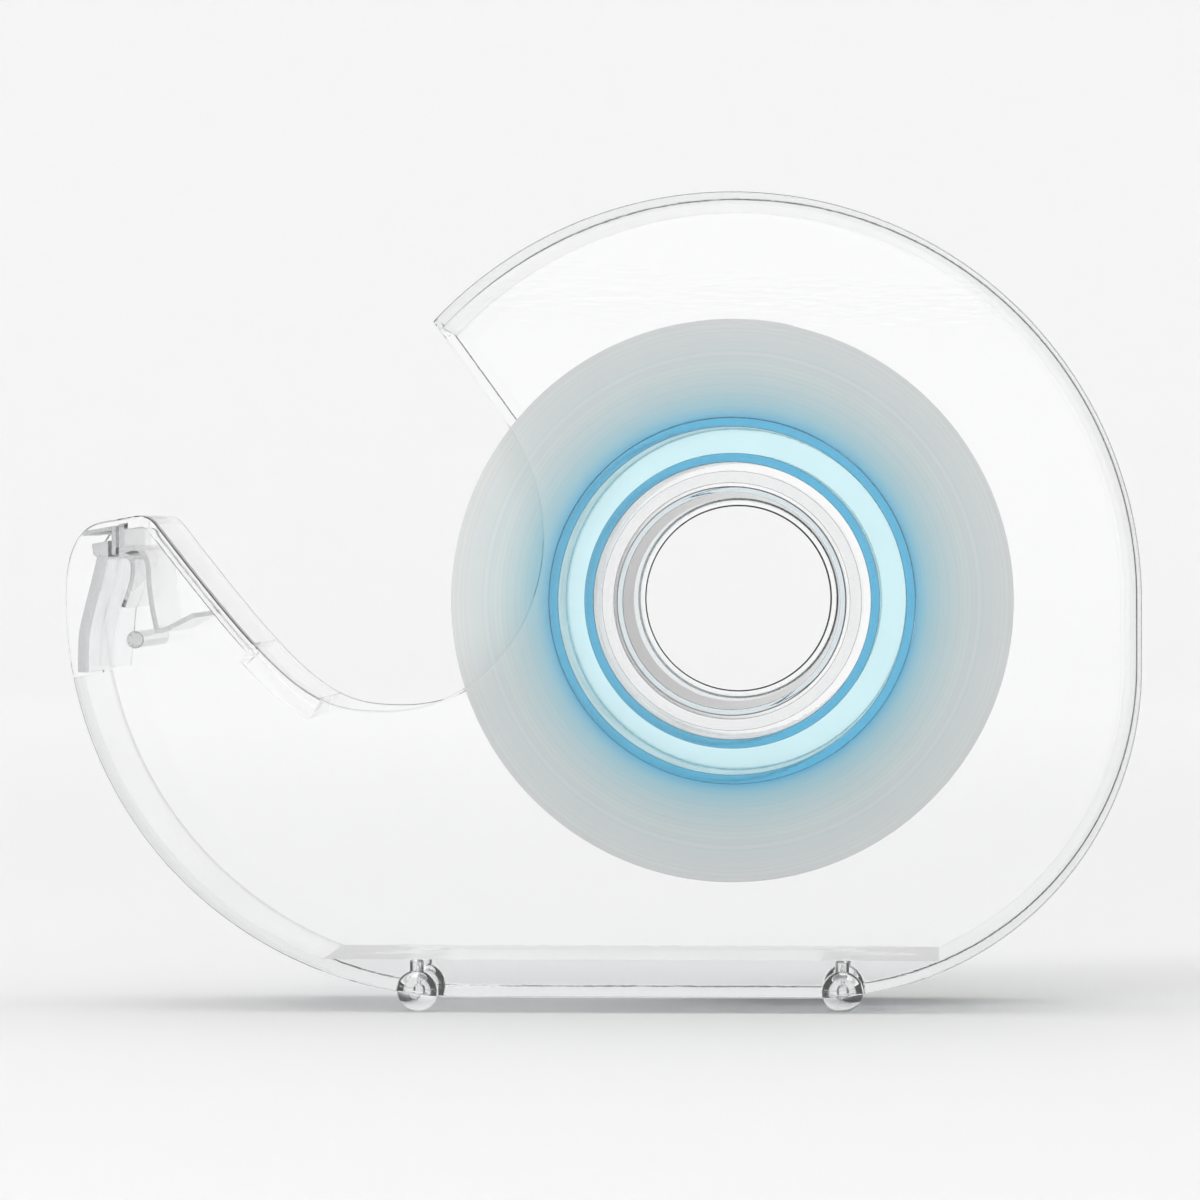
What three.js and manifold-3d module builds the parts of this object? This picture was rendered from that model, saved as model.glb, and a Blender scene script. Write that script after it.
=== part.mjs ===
// Clear hand-held tape dispenser: a two-part snail-shaped case, a hub that a refill roll
// turns on, a nose insert with a serrated cutter, and four ball feet.
// Millimetres, +Z up, nose towards -X, loose cover on the -Y side. The origin is the
// middle of the footprint, on the surface that the feet stand on.
import * as THREE from 'three';
import { mergeVertices } from 'three/addons/utils/BufferGeometryUtils.js';
import Module from 'manifold-3d';

const wasm = await Module();
wasm.setup();

// Driving dimensions ---------------------------------------------------------------
const tapeWidth = 19;           // office tape
const coreBoreRadius = 12.7;    // one inch core
const coreWall = 0.85;
const coreChannel = 2.4;        // gap between the core's two rings
const coreWebThickness = 1.1;
const coreWebDepth = 14;        // from the core's front end to the front of its web
const windThickness = 8.8;      // tape wound on the core
const woundFit = 0.25;          // between core and tape

const plateWall = 1.1;          // the case's two sides
const rimWall = 1.0;            // the case's edge
const sideClearance = 1.4;      // between tape and side, each side
const seamGap = 0.3;            // between pieces that meet

const crownRadius = 37.4;       // top of the case, about the hub
const tipAngle = 2.39;          // where the crown ends over the mouth
const cornerRadius = 30;        // back lower corner
const hubHeight = 36.3;         // hub axis above the case's underside
const slabThickness = 3.4;      // solid floor that holds the feet
const heelRadius = 36.4;        // front lower curve
const heelX = -24.7;            // its centre, from the hub
const rimEndDrop = 15.05;       // where the rim stops, below the nose corner
const heelEndDrop = 6.83;       // where the heel runs into the nose, below its corner

const nosePeakHeight = 8.0;     // nose corner above the hub axis
const nosePeakSetback = 7.6;    // nose corner behind the front of the nose
const noseTopSlope = 0.18;
const noseTopLength = 4.3;
const noseCornerCut = 1.25;     // how far from the corner its rounding starts
const rampSlope = 0.915;        // steepest part of the landing ramp
const rampReach = 20;           // length of the straight pull of the ramp's curve
const rampRunout = 6.5;
const rampShare = 0.64;         // share of the ramp's curve that has a bed
const rampWall = 1.1;
const rampKeelShare = 0.31;     // where the bed's deeper part starts
const rampKeelWall = 2.1;
const mouthLow = new THREE.Vector2(-31.7, -10.1);
const mouthHigh = new THREE.Vector2(-20.7, 16.4);
const mouthLowPull = 12;        // how far the mouth's curve runs level at its low end
const mouthHighPull = 13.8;     // and how far along the upper edge at its high end

const hubClearance = 0.8;       // a roll turns loosely on the hub
const bossWall = 1.1;
const fingerTubeWall = 0.6;
const fingerTubeDraft = 0.8;    // its bore narrows by this much towards the back
const rearLip = 0.4;            // how far the back plate's hole is smaller than the tube
const lipWall = 0.6;            // the cover's locating lip
const lipToRoll = 0.2;          // its edge stops this far before the side of the roll
const lipShare = 0.55;          // how far the lip runs down the back corner

const footRadius = 1.92;
const footFlat = 0.12;          // height ground off each ball
const footDrop = 1.45;          // how far the feet stand below the case
const footPegRadius = 1.4;
const footInset = 4;            // foot centre from the case's side
const frontFootX = -29;
const backFootX = 10.1;

const bladeThickness = 0.4;
const bladeFlange = 2.6;
const bladeLeg = 2.2;
const toothPitch = 0.95;
const toothHeight = 0.55;
const nosePinRadius = 0.8;
const nosePinInset = 6.1;       // behind the heel's curve
const nosePinDrop = 11.6;       // below the nose corner
const frontWallThickness = 1;
const legThickness = 0.45;
const leafThickness = 0.4;
const gussetThickness = 1;

// Sizes that follow ----------------------------------------------------------------
const innerDepth = tapeWidth + 2 * sideClearance;
const caseDepth = innerDepth + 2 * plateWall;
const frontY = -caseDepth / 2;
const backY = caseDepth / 2;
const innerFrontY = -innerDepth / 2;
const innerBackY = innerDepth / 2;
const insertDepth = innerDepth - 2 * seamGap;   // pieces that sit between the sides
const lipDepth = sideClearance - lipToRoll;

const coreInnerRing = coreBoreRadius + coreWall;
const coreOuterRing = coreInnerRing + coreChannel;
const coreRadius = coreOuterRing + coreWall;
const tapeBore = coreRadius + woundFit;
const rollRadius = tapeBore + windThickness;
const bossRadius = coreBoreRadius - hubClearance;
const bossBore = bossRadius - bossWall;
const tubeRadius = bossBore - seamGap;
const tubeMouthRadius = tubeRadius - fingerTubeWall;
const tubeEndRadius = tubeMouthRadius - fingerTubeDraft;
const rearHoleRadius = tubeEndRadius - rearLip;

const noseFrontX = heelX - heelRadius;
const nosePeak = new THREE.Vector2(noseFrontX + nosePeakSetback, nosePeakHeight);
const overlap = 0.2;            // how deep joined shapes run into each other

// The case's edge, clockwise from the tip ------------------------------------------
function arc(x, z, radius, from, to) {
  return new THREE.EllipseCurve(x, z, radius, radius, from, to, true);
}

function along(start, angle, distance) {
  return new THREE.Vector2(start.x + distance * Math.cos(angle), start.y + distance * Math.sin(angle));
}

const cornerX = crownRadius - cornerRadius;
const cornerZ = cornerRadius - hubHeight;
const heelZ = heelRadius - hubHeight;

// The heel's angle at a height below the nose corner, and how far its curve has then moved
// back from the front of the nose.
function heelAngle(drop) {
  return Math.asin((heelZ - nosePeakHeight + drop) / heelRadius) - Math.PI;
}

function heelRecess(drop) {
  return heelRadius * (1 + Math.cos(heelAngle(drop)));
}

const crown = arc(0, 0, crownRadius, tipAngle, 0);
const back = new THREE.LineCurve(
  new THREE.Vector2(crownRadius, 0), new THREE.Vector2(crownRadius, cornerZ));
const corner = arc(cornerX, cornerZ, cornerRadius, 0, -Math.PI / 2);
const floor = new THREE.LineCurve(
  new THREE.Vector2(cornerX, -hubHeight), new THREE.Vector2(heelX, -hubHeight));
const rimEndAngle = heelAngle(rimEndDrop);
const heel = arc(heelX, heelZ, heelRadius, -Math.PI / 2, rimEndAngle);
const chin = arc(heelX, heelZ, heelRadius, rimEndAngle, heelAngle(heelEndDrop));

const chinTop = chin.getPoint(1);
const noseTopStart = along(nosePeak, Math.PI + noseTopSlope, noseTopLength);
const brow = new THREE.CubicBezierCurve(
  chinTop, new THREE.Vector2(chinTop.x, chinTop.y + 3.4), along(noseTopStart, Math.PI + noseTopSlope, 2.2),
  noseTopStart);
const noseTopEnd = along(nosePeak, Math.PI + noseTopSlope, noseCornerCut);
const noseTop = new THREE.LineCurve(noseTopStart, noseTopEnd);
const rampStart = along(nosePeak, -rampSlope, noseCornerCut);
const noseCorner = new THREE.QuadraticBezierCurve(noseTopEnd, nosePeak, rampStart);
const ramp = new THREE.CubicBezierCurve(
  rampStart, along(rampStart, -rampSlope, rampReach), along(mouthLow, Math.PI, rampRunout), mouthLow);
const tip = crown.getPoint(0);
const tipDirection = Math.atan2(tip.y - mouthHigh.y, tip.x - mouthHigh.x);
const mouth = new THREE.CubicBezierCurve(
  mouthLow, along(mouthLow, 0, mouthLowPull), along(mouthHigh, tipDirection + Math.PI, mouthHighPull),
  mouthHigh);
const tipEdge = new THREE.LineCurve(mouthHigh, tip);

// Outline helpers ------------------------------------------------------------------
const curveSteps = 20;
const hubSegments = 72;
const footSegments = 20;

// Points along joined curves, moved inwards (to the right of the way they run).
// The first curve starts at the share `from`, and the last one ends at the share `to`.
function edgePoints(curves, inset = 0, from = 0, to = 1) {
  const points = [];
  curves.forEach((curve, index) => {
    const steps = curve.isLineCurve ? 1 : curveSteps;
    const start = index === 0 ? from : 0;
    const end = index === curves.length - 1 ? to : 1;
    for (let step = 0; step <= steps; step += 1) {
      const t = start + (end - start) * step / steps;
      const tangent = curve.getTangent(t);
      const point = curve.getPoint(t);
      point.x += inset * tangent.y;
      point.y -= inset * tangent.x;
      const last = points[points.length - 1];
      if (!last || last.distanceTo(point) > 0.02) {
        points.push(point);
      }
    }
  });
  if (points[0].distanceTo(points[points.length - 1]) < 0.02) {
    points.pop();
  }
  return points;
}

// A strip between two distances from a line of curves.
function band(curves, near, far, from = 0, to = 1) {
  return [...edgePoints(curves, near, from, to), ...edgePoints(curves, far, from, to).reverse()];
}

function ribbon(points, thickness) {
  const spine = new THREE.SplineCurve(points.map(([x, z]) => new THREE.Vector2(x, z)));
  return band([spine], -thickness / 2, thickness / 2);
}

// An outline in X and Z, as thick as the stretch of Y from low to high.
function slab(outline, low, high) {
  const geometry = new THREE.ExtrudeGeometry(new THREE.Shape(outline), {
    depth: high - low, bevelEnabled: false, curveSegments: 1,
  });
  geometry.rotateX(Math.PI / 2);
  geometry.translate(0, high, 0);
  return geometry;
}

// A turned shape about the hub's line; each point is [radius, y].
function turned(profile, segments) {
  return new THREE.LatheGeometry(profile.map(([r, y]) => new THREE.Vector2(r, y)), segments);
}

function ring(inner, outer, low, high, segments = hubSegments) {
  return turned([[inner, low], [outer, low], [outer, high], [inner, high], [inner, low]], segments);
}

function disc(radius, low, high, segments = hubSegments) {
  return turned([[0, low], [radius, low], [radius, high], [0, high]], segments);
}

// Solid helpers --------------------------------------------------------------------
function toSolid(geometry) {
  const bare = geometry.clone();
  bare.deleteAttribute('normal');
  bare.deleteAttribute('uv');
  const merged = mergeVertices(bare, 1e-4);
  return new wasm.Manifold(new wasm.Mesh({
    numProp: 3,
    vertProperties: merged.attributes.position.array,
    triVerts: new Uint32Array(merged.index.array),
  }));
}

function toGeometry(solid) {
  const mesh = solid.getMesh();
  const geometry = new THREE.BufferGeometry();
  geometry.setAttribute('position', new THREE.BufferAttribute(mesh.vertProperties, 3));
  geometry.setIndex(new THREE.BufferAttribute(mesh.triVerts, 1));
  geometry.computeVertexNormals();
  return geometry;
}

function join(geometries) {
  return geometries.map(toSolid).reduce((whole, piece) => whole.add(piece));
}

function cut(solid, geometries) {
  return geometries.map(toSolid).reduce((whole, piece) => whole.subtract(piece), solid);
}

const finishes = {
  clear: { color: 0xeef2f4, roughness: 0.05, metalness: 0, transparent: true, opacity: 0.35 },
  core: { color: 0x58b4e4, roughness: 0.2, metalness: 0, transparent: true, opacity: 0.8 },
  tape: { color: 0xc9cecd, roughness: 0.6, metalness: 0 },
  steel: { color: 0x9a9da0, roughness: 0.3, metalness: 0.9 },
};

const dispenser = new THREE.Group();
const hubFrame = new THREE.Group();     // everything is laid out from the hub's axis
dispenser.add(hubFrame);

function place(name, geometry, finish) {
  const mesh = new THREE.Mesh(geometry, new THREE.MeshStandardMaterial(finishes[finish]));
  mesh.name = name;
  hubFrame.add(mesh);
  return mesh;
}

// Case -----------------------------------------------------------------------------
const caseEdge = [crown, back, corner, floor, heel, chin, brow, noseTop, noseCorner, ramp, mouth, tipEdge];
const rimFrontY = innerFrontY + seamGap;

function footShape(extra) {
  const radius = footRadius + extra;
  const pegRadius = footPegRadius + extra;
  const bottom = footRadius - footFlat + extra;
  const start = -Math.asin(bottom / radius);
  const end = Math.acos(pegRadius / radius);
  const profile = [[0, -bottom]];
  const steps = 8;
  for (let step = 0; step <= steps; step += 1) {
    const angle = start + (end - start) * step / steps;
    profile.push([radius * Math.cos(angle), radius * Math.sin(angle)]);
  }
  const pegTop = slabThickness + footDrop - footRadius + footFlat - seamGap / 2;
  profile.push([pegRadius, pegTop + 2 * extra], [0, pegTop + 2 * extra]);
  return turned(profile, footSegments).rotateX(Math.PI / 2);
}

const footZ = footRadius - footFlat - footDrop - hubHeight;
const footPlaces = [
  ['foot_front_left', frontFootX, frontY + footInset],
  ['foot_front_right', frontFootX, backY - footInset],
  ['foot_back_left', backFootX, frontY + footInset],
  ['foot_back_right', backFootX, backY - footInset],
];

function buildRearShell() {
  const outline = edgePoints(caseEdge);
  const plate = slab(outline, innerBackY, backY);
  const rim = slab(band([crown, back, corner, floor, heel], 0, rimWall), rimFrontY, innerBackY + overlap);
  const boss = ring(bossBore, bossRadius, innerFrontY + 2 * seamGap, innerBackY + overlap);
  const below = new THREE.BoxGeometry(4 * crownRadius, caseDepth, slabThickness);
  below.translate(0, rimFrontY + caseDepth / 2, slabThickness / 2 - hubHeight);
  const floorBlock = toSolid(slab(outline, rimFrontY, innerBackY + overlap)).intersect(toSolid(below));
  const hole = disc(rearHoleRadius, innerFrontY, backY + overlap);
  const sockets = footPlaces.map(([, x, y]) => footShape(seamGap).translate(x, y, footZ));
  return cut(join([plate, rim, boss]).add(floorBlock), [hole, ...sockets]);
}

function buildFrontShell() {
  const plate = slab(edgePoints(caseEdge), frontY, innerFrontY);
  const near = rimWall + seamGap;
  const lipCurves = [crown, back, corner];
  const topLip = slab(
    band(lipCurves, near, near + lipWall, 0, lipShare), innerFrontY - overlap, innerFrontY + lipDepth);
  const tubeEndY = innerBackY - seamGap;
  const tube = turned([
    [tubeMouthRadius, frontY], [tubeRadius, frontY], [tubeRadius, tubeEndY],
    [tubeEndRadius, tubeEndY], [tubeMouthRadius, frontY],
  ], hubSegments);
  const opening = disc(tubeMouthRadius + fingerTubeWall / 2, frontY - overlap, innerFrontY + overlap);
  const openPlate = cut(join([plate, topLip]), [opening]);
  return openPlate.add(toSolid(tube));
}

place('rear_shell', toGeometry(buildRearShell()), 'clear');
place('front_shell', toGeometry(buildFrontShell()), 'clear');

footPlaces.forEach(([name, x, y]) => {
  place(name, footShape(0), 'clear').position.set(x, y, footZ);
});

// Roll -----------------------------------------------------------------------------
const coreFrontY = -tapeWidth / 2;
const webFrontY = coreFrontY + coreWebDepth;
const webBackY = webFrontY + coreWebThickness;
place('spool_core', turned([
  [coreBoreRadius, coreFrontY], [coreInnerRing, coreFrontY], [coreInnerRing, webFrontY],
  [coreOuterRing, webFrontY], [coreOuterRing, coreFrontY], [coreRadius, coreFrontY],
  [coreRadius, -coreFrontY], [coreOuterRing, -coreFrontY], [coreOuterRing, webBackY],
  [coreInnerRing, webBackY], [coreInnerRing, -coreFrontY], [coreBoreRadius, -coreFrontY],
  [coreBoreRadius, coreFrontY],
], hubSegments), 'core');
place('tape_roll', ring(tapeBore, rollRadius, coreFrontY, -coreFrontY), 'tape');

// Nose -----------------------------------------------------------------------------
// Points of the nose insert are [behind the nose's front, above the hub axis].
function nosePoints(points) {
  return points.map(([x, z]) => [noseFrontX + x, nosePeakHeight + z]);
}

function insertPiece(outline) {
  return slab(outline.map(([x, z]) => new THREE.Vector2(x, z)), -insertDepth / 2, insertDepth / 2);
}

// The same for points given as [behind the heel's curve, above the nose corner].
function behindHeel(points) {
  return points.map(([x, z]) => [x + heelRecess(-z), z]);
}

function insertRibbon(points, thickness) {
  return slab(ribbon(nosePoints(points), thickness), -insertDepth / 2, insertDepth / 2);
}

const insertBlockEnd = 5.3;
const bladeCornerX = noseFrontX + 4.5;
const bladeCornerZ = nosePeakHeight - 1.5;
const bladeWidth = insertDepth - 2 * seamGap;

function buildCutterHolder() {
  const block = insertPiece(nosePoints([
    [2.3, -2.8], [2.45, -3.8], [3, -4.2], [4.8, -4.2], [insertBlockEnd, -3.7], [insertBlockEnd, -0.9],
    [4.8, -1], [3.8, -2.5],
  ]));
  const frontWall = insertRibbon(
    behindHeel([[0.88, -14.6], [1.45, -11.2], [2.15, -8.6], [2.7, -6.4], [3.1, -3.9]]),
    frontWallThickness);
  const backLeg = insertRibbon(
    [[5, -3.5], [6.5, -3.2], [7.4, -4.4], [7.6, -6.6], [7.9, -8.8], [8.3, -10.7]], legThickness);
  const returnLeg = insertRibbon([[8.1, -10.75], [9, -10.7], [10.2, -10.1], [11.7, -9.35]], legThickness);
  const leafRib = insertRibbon(
    [[5, -3.7], [5.9, -4.2], [6.1, -5.2], [5.85, -6.6], [5.2, -8.6]], leafThickness);
  const gussetOutline = nosePoints([
    ...behindHeel([[0.85, -14.2], [4.15, -14.2]]), [5.2, -8.5], [5.8, -6.6], [5.3, -3.8], [3, -3.8],
  ]).map(([x, z]) => new THREE.Vector2(x, z));
  const gusset = slab(gussetOutline, -gussetThickness / 2, gussetThickness / 2);
  const slotWidth = bladeThickness + 2 * seamGap;
  const slot = new THREE.BoxGeometry(slotWidth, caseDepth, bladeLeg + 2 * seamGap);
  slot.translate(bladeCornerX - bladeThickness / 2, 0, bladeCornerZ - bladeLeg / 2);
  return cut(join([block, frontWall, backLeg, returnLeg, leafRib, gusset]), [slot]);
}

function buildCutterBlade() {
  const half = bladeWidth / 2;
  const teeth = Math.floor(bladeWidth / toothPitch);
  const pitch = bladeWidth / teeth;
  const plan = new THREE.Shape();
  plan.moveTo(0, -half);
  plan.lineTo(0, half);
  plan.lineTo(-bladeFlange, half);
  for (let tooth = 0; tooth < teeth; tooth += 1) {
    plan.lineTo(-bladeFlange - toothHeight, half - (tooth + 0.5) * pitch);
    plan.lineTo(-bladeFlange, half - (tooth + 1) * pitch);
  }
  const flange = new THREE.ExtrudeGeometry(plan, { depth: bladeThickness, bevelEnabled: false });
  flange.rotateY(-noseTopSlope);
  const leg = new THREE.BoxGeometry(bladeThickness, bladeWidth, bladeLeg + bladeThickness);
  leg.translate(-bladeThickness / 2, 0, (bladeThickness - bladeLeg) / 2 - overlap / 2);
  return join([flange, leg]);
}

place('cutter_holder', toGeometry(buildCutterHolder()), 'clear');
place('cutter_blade', toGeometry(buildCutterBlade()), 'steel').position.set(bladeCornerX, 0, bladeCornerZ);

function buildRamp() {
  const bed = slab(
    band([noseTop, noseCorner, ramp], 0, rampWall, 0, rampShare), -insertDepth / 2, insertDepth / 2);
  const keel = slab(
    band([ramp], rampWall - overlap, rampKeelWall, rampKeelShare, rampShare),
    -insertDepth / 2, insertDepth / 2);
  const overBlock = new THREE.BoxGeometry(2 * noseTopLength, caseDepth, 2 * noseTopLength);
  overBlock.translate(noseFrontX + insertBlockEnd + seamGap - noseTopLength, 0, nosePeakHeight);
  return cut(join([bed, keel]), [overBlock]);
}

place('landing_ramp', toGeometry(buildRamp()), 'clear');

const nosePin = place(
  'nose_pin', new THREE.CylinderGeometry(nosePinRadius, nosePinRadius, insertDepth, 20), 'clear');
nosePin.position.set(noseFrontX + heelRecess(nosePinDrop) + nosePinInset, 0, nosePeakHeight - nosePinDrop);

// Stand the whole dispenser on its feet, centred over its footprint.
const size = new THREE.Box3().setFromObject(hubFrame);
hubFrame.position.set(-(size.min.x + size.max.x) / 2, -(size.min.y + size.max.y) / 2, -size.min.z);

export default dispenser;
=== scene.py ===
"""Clear hand-held tape dispenser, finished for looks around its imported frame.

The case is two clear moulded shells on four ball feet. A roll of matte tape on a blue
core turns on the hub, and the nose holds a toothed steel cutter over a landing ramp.
Outlines are in millimetres from the hub's axis, and meshes are in metres in the frame.
"""

import logging
import math
from collections.abc import Iterable, Sequence
from dataclasses import dataclass, field
from enum import Enum

import bmesh
import bpy
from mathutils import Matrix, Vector


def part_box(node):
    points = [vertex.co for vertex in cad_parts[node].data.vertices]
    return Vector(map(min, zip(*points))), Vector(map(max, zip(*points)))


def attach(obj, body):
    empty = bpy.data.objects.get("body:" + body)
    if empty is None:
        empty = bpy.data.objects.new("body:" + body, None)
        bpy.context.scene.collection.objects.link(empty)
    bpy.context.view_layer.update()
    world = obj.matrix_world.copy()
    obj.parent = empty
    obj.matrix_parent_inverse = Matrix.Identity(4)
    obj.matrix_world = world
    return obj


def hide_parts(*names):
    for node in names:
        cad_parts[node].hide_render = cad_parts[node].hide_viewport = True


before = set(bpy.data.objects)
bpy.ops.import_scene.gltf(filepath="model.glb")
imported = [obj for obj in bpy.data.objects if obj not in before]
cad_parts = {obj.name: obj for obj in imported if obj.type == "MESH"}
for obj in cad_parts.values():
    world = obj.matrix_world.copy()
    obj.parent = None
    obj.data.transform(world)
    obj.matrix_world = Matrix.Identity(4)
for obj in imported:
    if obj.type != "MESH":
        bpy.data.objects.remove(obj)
log = logging.getLogger("tape_dispenser")

MM = 0.001
TURN = 2 * math.pi
HUB_LOW, HUB_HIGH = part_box("tape_roll")
HUB = (HUB_LOW + HUB_HIGH) / 2

MERGE = 1e-7  # metres: points closer than this are one
UP = Vector((0, 0, 1))

Outline = list[Vector]
Section = Sequence[tuple[float, float]]


class Join(Enum):
    """How one solid acts on another."""

    ADD = "UNION"
    CUT = "DIFFERENCE"


class Side(Enum):
    """The side of a slab whose edges are rounded."""

    NONE = 0
    FRONT = 1
    BACK = 2


# Outlines --------------------------------------------------------------------------
def arc(x: float, z: float, radius: float, start: float, end: float, steps: int) -> Outline:
    """Points along a round arc.

    Args:
        x: Centre, from the hub.
        z: Centre, above the hub.
        radius: Radius in millimetres.
        start: First angle in radians.
        end: Last angle in radians.
        steps: Number of straight pieces.

    Returns:
        The points from start to end.
    """
    angles = [start + (end - start) * step / steps for step in range(steps + 1)]
    return [Vector((x + radius * math.cos(a), z + radius * math.sin(a))) for a in angles]


def bezier(points: Sequence[Vector], steps: int) -> Outline:
    """Points along a Bezier curve of any degree.

    Args:
        points: The curve's control points.
        steps: Number of straight pieces.

    Returns:
        The points from the first control point to the last.
    """
    curve = []
    for step in range(steps + 1):
        t = step / steps
        level = [p.copy() for p in points]
        while len(level) > 1:
            level = [a.lerp(b, t) for a, b in zip(level, level[1:])]
        curve.append(level[0])
    return curve


def along(start: Vector, angle: float, distance: float) -> Vector:
    """The point at a distance from start in the direction of angle."""
    return start + distance * Vector((math.cos(angle), math.sin(angle)))


def joined_outline(parts: Iterable[Outline], closest: float = 0.02) -> Outline:
    """One outline from several, without points that fall on each other.

    Args:
        parts: Stretches in order.
        closest: Smallest distance between two points in millimetres.

    Returns:
        The points of the whole outline.
    """
    points: Outline = []
    for point in (p for part in parts for p in part):
        if not points or (points[-1] - point).length > closest:
            points.append(point)
    if (points[0] - points[-1]).length < closest:
        points.pop()
    return points


@dataclass(frozen=True)
class CaseEdge:
    """The snail-shaped edge of the case, clockwise from the tip over the mouth."""

    crown_radius: float = 37.4
    tip_angle: float = 2.39
    corner_radius: float = 30.0
    hub_height: float = 36.3
    slab_thickness: float = 3.4
    heel_radius: float = 36.4
    heel_x: float = -24.7
    nose_peak_height: float = 8.0
    nose_peak_setback: float = 7.6
    rim_end_drop: float = 15.05
    heel_end_drop: float = 6.83
    nose_top_slope: float = 0.18
    nose_top_length: float = 4.3
    nose_corner_cut: float = 1.25
    ramp_slope: float = 0.915
    ramp_reach: float = 20.0
    ramp_runout: float = 6.5
    brow_rise: float = 3.4
    brow_pull: float = 2.2
    brow_steps: int = 14
    peak_steps: int = 8
    mouth_low: tuple[float, float] = (-31.7, -10.1)
    mouth_high: tuple[float, float] = (-20.7, 16.4)
    mouth_low_pull: float = 12.0
    mouth_high_pull: float = 13.8
    arc_step: float = math.radians(1.5)
    curve_steps: int = 40

    def steps(self, start: float, end: float) -> int:
        """How many straight pieces an arc between two angles takes."""
        return max(2, round(abs(end - start) / self.arc_step))

    def heel_angle(self, drop: float) -> float:
        """The heel's angle at a height below the nose corner."""
        rise = self.heel_z - self.nose_peak_height + drop
        return math.asin(rise / self.heel_radius) - math.pi

    @property
    def corner_centre(self) -> tuple[float, float]:
        """Centre of the lower back corner."""
        return self.crown_radius - self.corner_radius, self.corner_radius - self.hub_height

    @property
    def heel_z(self) -> float:
        """Height of the centre of the heel's arc."""
        return self.heel_radius - self.hub_height

    @property
    def nose_peak(self) -> Vector:
        """The nose corner, before it is cut."""
        return Vector((self.heel_x - self.heel_radius + self.nose_peak_setback, self.nose_peak_height))

    def crown(self, inset: float = 0) -> Outline:
        """The arc over the roll."""
        return arc(0, 0, self.crown_radius - inset, self.tip_angle, 0, self.steps(self.tip_angle, 0))

    def corner(self, inset: float = 0) -> Outline:
        """The lower back corner."""
        x, z = self.corner_centre
        return arc(x, z, self.corner_radius - inset, 0, -math.pi / 2, self.steps(0, math.pi / 2))

    def heel(self, inset: float = 0, end_drop: float | None = None) -> Outline:
        """The lower front curve, up to a height below the nose corner."""
        end = self.heel_angle(self.rim_end_drop if end_drop is None else end_drop)
        start = -math.pi / 2
        return arc(self.heel_x, self.heel_z, self.heel_radius - inset, start, end, self.steps(start, end))

    def nose(self) -> Outline:
        """The nose, from the end of the heel round the corner to the start of the ramp."""
        peak = self.nose_peak
        back = math.pi + self.nose_top_slope
        low = self.heel(0, self.heel_end_drop)[-1]
        top = along(peak, back, self.nose_top_length)
        rise = low + Vector((0, self.brow_rise))
        brow = bezier([low, rise, along(top, back, self.brow_pull), top], self.brow_steps)
        cut = along(peak, back, self.nose_corner_cut)
        return brow + bezier([cut, peak, self.ramp_start()], self.peak_steps)

    def ramp_start(self) -> Vector:
        """Where the ramp leaves the nose corner."""
        return along(self.nose_peak, -self.ramp_slope, self.nose_corner_cut)

    def ramp(self) -> Outline:
        """The landing ramp's line."""
        start = self.ramp_start()
        low = Vector(self.mouth_low)
        runout = along(low, math.pi, self.ramp_runout)
        reach = along(start, -self.ramp_slope, self.ramp_reach)
        return bezier([start, reach, runout, low], self.curve_steps)

    def mouth(self) -> Outline:
        """The open mouth between the ramp and the tip."""
        low, high = Vector(self.mouth_low), Vector(self.mouth_high)
        tip = self.crown()[0]
        lean = math.atan2(tip.y - high.y, tip.x - high.x) + math.pi
        pull_low = along(low, 0, self.mouth_low_pull)
        pull_high = along(high, lean, self.mouth_high_pull)
        return bezier([low, pull_low, pull_high, high], self.curve_steps)

    def whole(self) -> Outline:
        """The closed edge of a side plate."""
        heel = self.heel(0, self.heel_end_drop)
        return joined_outline([self.crown(), self.corner(), heel, self.nose(), self.ramp(), self.mouth()])

    def chamber(self, wall: float) -> Outline:
        """The room inside the rim, left open past the rim's two ends.

        Args:
            wall: The rim's thickness.

        Returns:
            The closed outline of what is cut away.
        """
        floor_top = self.slab_thickness - self.hub_height
        crown = self.crown(wall)
        corner = [p for p in self.corner(wall) if p.y > floor_top]
        heel = [p for p in self.heel(wall) if p.y > floor_top]
        corner.append(self.level_point(self.corner_centre, self.corner_radius - wall, floor_top, 1))
        heel.insert(0, self.level_point((self.heel_x, self.heel_z), self.heel_radius - wall, floor_top, -1))
        beyond = 3 * self.crown_radius
        heel_end = self.heel_angle(self.rim_end_drop)
        outside = [along(heel[-1], heel_end, beyond), along(crown[0], self.tip_angle, beyond)]
        return joined_outline([crown, corner, heel, outside])

    def level_point(self, centre: tuple[float, float], radius: float, z: float, side: int) -> Vector:
        """Where a level line crosses an arc, on its right (side 1) or left (side -1)."""
        return Vector((centre[0] + side * math.sqrt(radius ** 2 - (z - centre[1]) ** 2), z))

    def lip(self, near: float, wall: float, share: float) -> Outline:
        """The cover's locating lip, a strip inside the rim from the tip down the back corner.

        Args:
            near: Distance from the edge to the lip.
            wall: The lip's thickness.
            share: How far down the corner it runs.

        Returns:
            The strip's closed outline.
        """
        sides = []
        for inset in (near, near + wall):
            corner = self.corner(inset)
            sides.append(self.crown(inset) + corner[: round(share * len(corner))])
        return joined_outline([sides[0], sides[1][::-1]])


# Mesh helpers ----------------------------------------------------------------------
def in_frame(point: Vector, y: float) -> Vector:
    """A point of an outline, in metres in the frame, at the depth y in millimetres."""
    return Vector((HUB.x + point.x * MM, y * MM, HUB.z + point.y * MM))


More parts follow.
